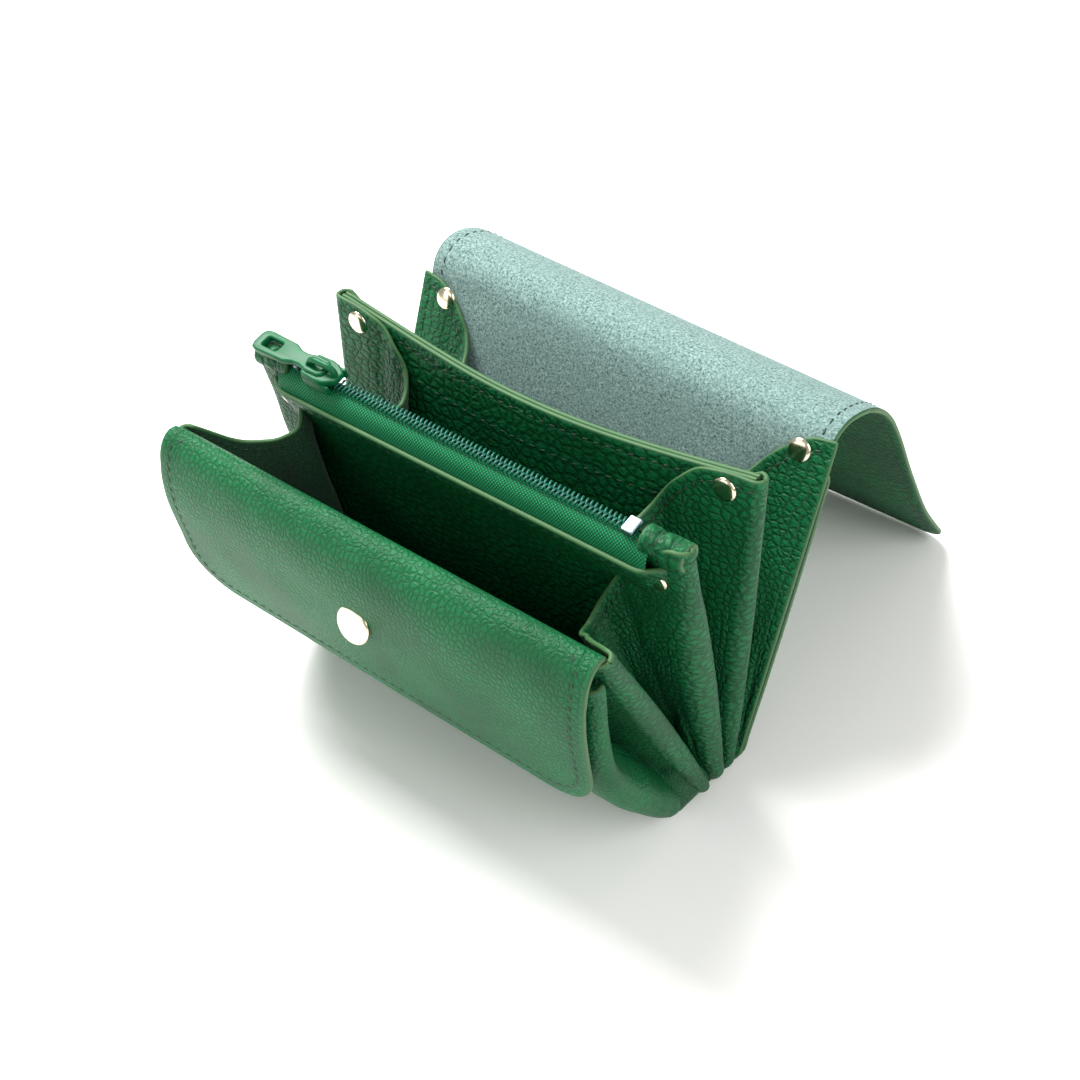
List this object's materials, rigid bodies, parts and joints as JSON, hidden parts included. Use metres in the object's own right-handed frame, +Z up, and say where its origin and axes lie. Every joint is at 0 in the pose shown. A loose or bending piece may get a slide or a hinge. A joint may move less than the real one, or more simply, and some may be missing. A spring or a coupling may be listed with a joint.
{
  "type": "card holder",
  "caption": "Pebbled leather accordion purse for cards with a snap front pocket, a zipped coin pocket, side bellows and a long wrap-over main flap.",
  "frame": {"origin": "on the flat underside of the base fold, at mid-width, below the divider's foot", "axes": "+X along the purse's width, -Y towards the snap pocket, +Y towards the thrown-back main flap, +Z up from the table"},
  "size_m": [0.128, 0.1924, 0.0987],
  "materials": {
    "green_leather": "soft pebbled grain, semi-matt",
    "flap_leather": "suede flesh side inside, pebbled grain outside",
    "zip_tape": "woven tape",
    "zip_teeth": "nylon coil",
    "slider_paint": "gloss enamel",
    "nickel": "polished pale nickel"
  },
  "bodies": {
    "back": {"back_panel": "flap_leather", "base_fold": "green_leather", "rivet_caps_back": "nickel", "rivet_posts_back": "nickel", "gusset_left_rear_bay": "green_leather", "gusset_right_rear_bay": "green_leather"},
    "main_flap_top": {"main_flap_top": "flap_leather"},
    "main_flap": {"main_flap_front": "flap_leather"},
    "divider": {"divider_front_layer": "green_leather", "divider_rear_layer": "green_leather", "rivet_caps_divider": "nickel", "rivet_posts_divider": "nickel", "gusset_left_middle_bay": "green_leather", "gusset_right_middle_bay": "green_leather"},
    "zip_pocket": {"zip_pocket_front": "green_leather", "zip_pocket_rear": "green_leather", "zip_tape_front": "zip_tape", "zip_tape_rear": "zip_tape", "zip_teeth_front": "zip_teeth", "zip_teeth_rear": "zip_teeth", "zip_top_stop": "nickel", "zip_bottom_stop": "nickel", "zip_end_tab_left": "green_leather", "zip_end_tab_right": "green_leather", "rivet_caps_zip": "nickel", "rivet_posts_zip": "nickel", "gusset_left_front_bay": "green_leather", "gusset_right_front_bay": "green_leather"},
    "zip_slider": {"zip_slider": "slider_paint"},
    "pull_tab": {"zip_pull_tab": "slider_paint"},
    "inner_front": {"inner_front_wall": "green_leather", "gusset_left_snap_bay": "green_leather", "gusset_right_snap_bay": "green_leather"},
    "front_flap": {"front_flap": "green_leather", "snap_cap": "nickel", "snap_socket": "nickel"},
    "front_panel": {"front_panel": "green_leather", "snap_stud": "nickel", "snap_post": "nickel"}
  },
  "joints": [
    {"name": "purse_close", "type": "hinge", "parent": "back", "child": "main_flap_top", "pos_m": [0, 0.03519, 0.09393], "axis": [1, 0, 0], "range_deg": [0, 122], "deforming": ["gusset_left_rear_bay", "gusset_right_rear_bay", "gusset_left_middle_bay", "gusset_right_middle_bay", "gusset_left_front_bay", "gusset_right_front_bay", "gusset_left_snap_bay", "gusset_right_snap_bay"]},
    {"name": "flap_wrap", "type": "hinge", "parent": "main_flap_top", "child": "main_flap", "pos_m": [0, 0.0608, 0.08941], "axis": [1, 0, 0], "range_deg": [0, 148]},
    {"name": "divider_fold", "type": "hinge", "parent": "back", "child": "divider", "pos_m": [0, 0.0015, 0.003], "axis": [-1, 0, 0], "range_deg": [0, 18.5], "deforming": ["gusset_left_rear_bay", "gusset_right_rear_bay"]},
    {"name": "zip_pocket_fold", "type": "hinge", "parent": "divider", "child": "zip_pocket", "pos_m": [0, -0.003, 0.003], "axis": [-1, 0, 0], "range_deg": [0, 13.4], "deforming": ["gusset_left_middle_bay", "gusset_right_middle_bay"]},
    {"name": "inner_wall_fold", "type": "hinge", "parent": "zip_pocket", "child": "inner_front", "pos_m": [0, -0.009, 0.003], "axis": [-1, 0, 0], "range_deg": [0, 13.1], "deforming": ["gusset_left_front_bay", "gusset_right_front_bay"]},
    {"name": "front_panel_fold", "type": "hinge", "parent": "back", "child": "front_panel", "pos_m": [0, -0.0165, 0.0025], "axis": [-1, 0, 0], "range_deg": [0, 46.2], "deforming": ["gusset_left_snap_bay", "gusset_right_snap_bay"]},
    {"name": "front_flap_open", "type": "hinge", "parent": "inner_front", "child": "front_flap", "pos_m": [0, -0.05704, 0.08588], "axis": [1, 0, 0], "range_deg": [-140, 0]},
    {"name": "zip_slide", "type": "slide", "parent": "zip_pocket", "child": "zip_slider", "axis": [1, 0, 0], "range_m": [0, 0.086]},
    {"name": "pull_tab_lift", "type": "hinge", "parent": "zip_slider", "child": "pull_tab", "pos_m": [-0.041, -0.02959, 0.09696], "axis": [0, -0.9622, -0.2723], "range_deg": [-110, 0]}
  ],
  "couplings": [
    {"joint": "divider_fold", "follows": "purse_close", "ratio": 0.15082},
    {"joint": "zip_pocket_fold", "follows": "purse_close", "ratio": 0.10902},
    {"joint": "inner_wall_fold", "follows": "purse_close", "ratio": 0.10656},
    {"joint": "front_panel_fold", "follows": "purse_close", "ratio": 0.37705}
  ]
}
